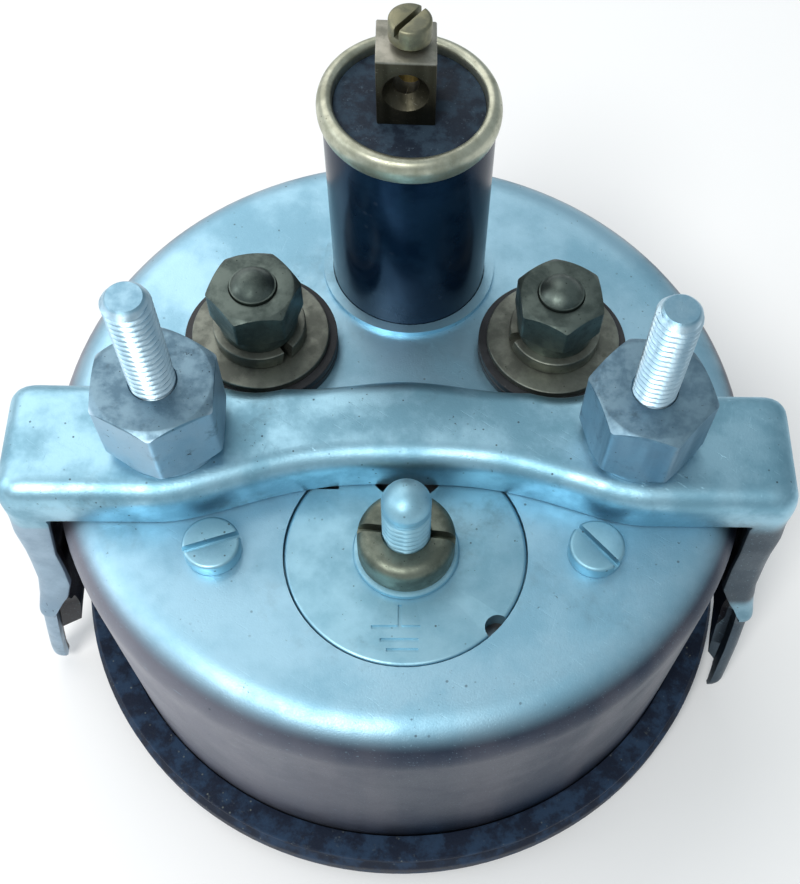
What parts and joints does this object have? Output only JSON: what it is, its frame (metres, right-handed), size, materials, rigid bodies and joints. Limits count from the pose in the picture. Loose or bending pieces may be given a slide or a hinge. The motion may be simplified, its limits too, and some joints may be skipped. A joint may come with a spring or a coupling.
{
  "type": "temperature gauge",
  "caption": "Round panel temperature gauge seen from its back: drawn case, stud terminals, clamp bracket over threaded studs and a plug-in lamp holder.",
  "frame": {"origin": "centre of the bezel's front face", "axes": "+Z out of the back of the gauge, along the clamp studs; +Y from the ground stud towards the lamp holder; +X to the right of someone who looks at the back"},
  "size_m": [0.0722, 0.066, 0.06],
  "materials": {
    "case_metal": "satin drawn sheet",
    "bezel_black": "satin black, mottled",
    "seal_rubber": "matt",
    "clear_glass": "clear, polished",
    "dial_black": "matt black with pale print",
    "pointer_white": "matt white",
    "hub_black": "matt",
    "plain_steel": "turned or pressed, bare",
    "zinc_steel": "bright zinc plate",
    "bracket_zinc": "dull zinc plate, scuffed",
    "magnet_grey": "sintered magnet",
    "dull_brass": "tarnished brass",
    "bright_brass": "rolled and turned brass",
    "coil_copper": "enamelled copper wire",
    "former_cream": "moulded",
    "insulator_black": "moulded",
    "resistor_green": "lacquered",
    "wire_red": "insulated wire",
    "tube_black": "gloss black tube",
    "fibre_blue": "pressed fibre, dark"
  },
  "bodies": {
    "housing": {"case_can": "case_metal", "bezel": "bezel_black", "panel_seal": "seal_rubber", "glass_lens": "clear_glass", "glass_seal": "seal_rubber", "dial_spacer": "dial_black", "dial_plate": "dial_black", "dial_screws": "plain_steel", "pointer_stops": "plain_steel", "movement_frame": "plain_steel", "bearing_strip": "plain_steel", "pivot_bearings": "bright_brass", "coil_former": "former_cream", "inner_coil": "coil_copper", "outer_coil": "coil_copper", "magnet_shield": "plain_steel", "ballast_resistor": "resistor_green", "connecting_wires": "wire_red", "solder_tags": "bright_brass", "inner_nuts": "dull_brass", "terminal_bushes": "insulator_black", "terminal_insulators": "insulator_black", "terminal_studs": "dull_brass", "clamp_studs": "zinc_steel", "movement_screws": "zinc_steel", "base_disc": "case_metal", "ground_stud": "zinc_steel", "lamp_tube": "tube_black"},
    "pointer": {"pointer_needle": "pointer_white", "pointer_hub": "hub_black", "pointer_spindle": "plain_steel", "magnet_rotor": "magnet_grey"},
    "clamp": {"clamp_bracket": "bracket_zinc"},
    "left_clamp_nut": {"left_clamp_nut": "zinc_steel"},
    "right_clamp_nut": {"right_clamp_nut": "zinc_steel"},
    "left_washers": {"left_flat_washer": "dull_brass", "left_lock_washer": "dull_brass"},
    "left_terminal_nut": {"left_terminal_nut": "dull_brass"},
    "right_washers": {"right_flat_washer": "dull_brass", "right_lock_washer": "dull_brass"},
    "right_terminal_nut": {"right_terminal_nut": "dull_brass"},
    "ground_washer": {"ground_washer": "zinc_steel"},
    "ground_nut": {"ground_nut": "dull_brass"},
    "lamp_holder": {"lamp_sleeve": "bright_brass", "fibre_disc": "fibre_blue", "terminal_block": "dull_brass", "contact_spring": "plain_steel"},
    "plunger": {"contact_plunger": "bright_brass"},
    "wire_clamp_screw": {"wire_clamp_screw": "bright_brass"},
    "bulb": {"bulb_base": "bright_brass", "bulb_glass": "clear_glass"}
  },
  "joints": [
    {"name": "pointer_turn", "type": "hinge", "parent": "housing", "child": "pointer", "pos_m": [0, -0.013, 0], "axis": [0, 0, 1], "range_deg": [0, 90]},
    {"name": "clamp_slide", "type": "slide", "parent": "housing", "child": "clamp", "axis": [0, 0, 1], "range_m": [0, 0.01]},
    {"name": "left_clamp_nut_turn", "type": "hinge", "parent": "clamp", "child": "left_clamp_nut", "pos_m": [-0.0189, -0.0045, 0], "axis": [0, 0, 1], "range_deg": [0, 6001]},
    {"name": "right_clamp_nut_turn", "type": "hinge", "parent": "clamp", "child": "right_clamp_nut", "pos_m": [0.0189, -0.0045, 0], "axis": [0, 0, 1], "range_deg": [0, 6001]},
    {"name": "left_washer_slide", "type": "slide", "parent": "housing", "child": "left_washers", "axis": [0, 0, 1], "range_m": [0, 0.0028]},
    {"name": "left_terminal_nut_turn", "type": "hinge", "parent": "left_washers", "child": "left_terminal_nut", "pos_m": [-0.0126, 0.0067, 0], "axis": [0, 0, 1], "range_deg": [0, 1441]},
    {"name": "right_washer_slide", "type": "slide", "parent": "housing", "child": "right_washers", "axis": [0, 0, 1], "range_m": [0, 0.0028]},
    {"name": "right_terminal_nut_turn", "type": "hinge", "parent": "right_washers", "child": "right_terminal_nut", "pos_m": [0.0126, 0.0067, 0], "axis": [0, 0, 1], "range_deg": [0, 1441]},
    {"name": "ground_washer_slide", "type": "slide", "parent": "housing", "child": "ground_washer", "axis": [0, 0, 1], "range_m": [0, 0.0049]},
    {"name": "ground_nut_turn", "type": "hinge", "parent": "ground_washer", "child": "ground_nut", "pos_m": [0, -0.013, 0], "axis": [0, 0, 1], "range_deg": [0, 2521]},
    {"name": "lamp_holder_pull", "type": "slide", "parent": "housing", "child": "lamp_holder", "axis": [0, 0, 1], "range_m": [0, 0.036]},
    {"name": "contact_plunger_slide", "type": "slide", "parent": "lamp_holder", "child": "plunger", "axis": [0, 0, 1], "range_m": [0, 0.001], "stiffness_N_per_m": 400, "springref_m": -0.002, "deforming": ["contact_spring"]},
    {"name": "wire_clamp_screw_slide", "type": "slide", "parent": "lamp_holder", "child": "wire_clamp_screw", "axis": [0, 0, 1], "range_m": [0, 0.002]},
    {"name": "bulb_turn", "type": "hinge", "parent": "lamp_holder", "child": "bulb", "pos_m": [0, 0.0157, 0], "axis": [0, 0, 1], "range_deg": [0, 18]}
  ],
  "couplings": [
    {"joint": "left_clamp_nut_turn", "follows": "clamp_slide", "rad_per_m": 10472},
    {"joint": "right_clamp_nut_turn", "follows": "clamp_slide", "rad_per_m": 10472},
    {"joint": "left_terminal_nut_turn", "follows": "left_washer_slide", "rad_per_m": 8976},
    {"joint": "right_terminal_nut_turn", "follows": "right_washer_slide", "rad_per_m": 8976},
    {"joint": "ground_nut_turn", "follows": "ground_washer_slide", "rad_per_m": 8976}
  ]
}
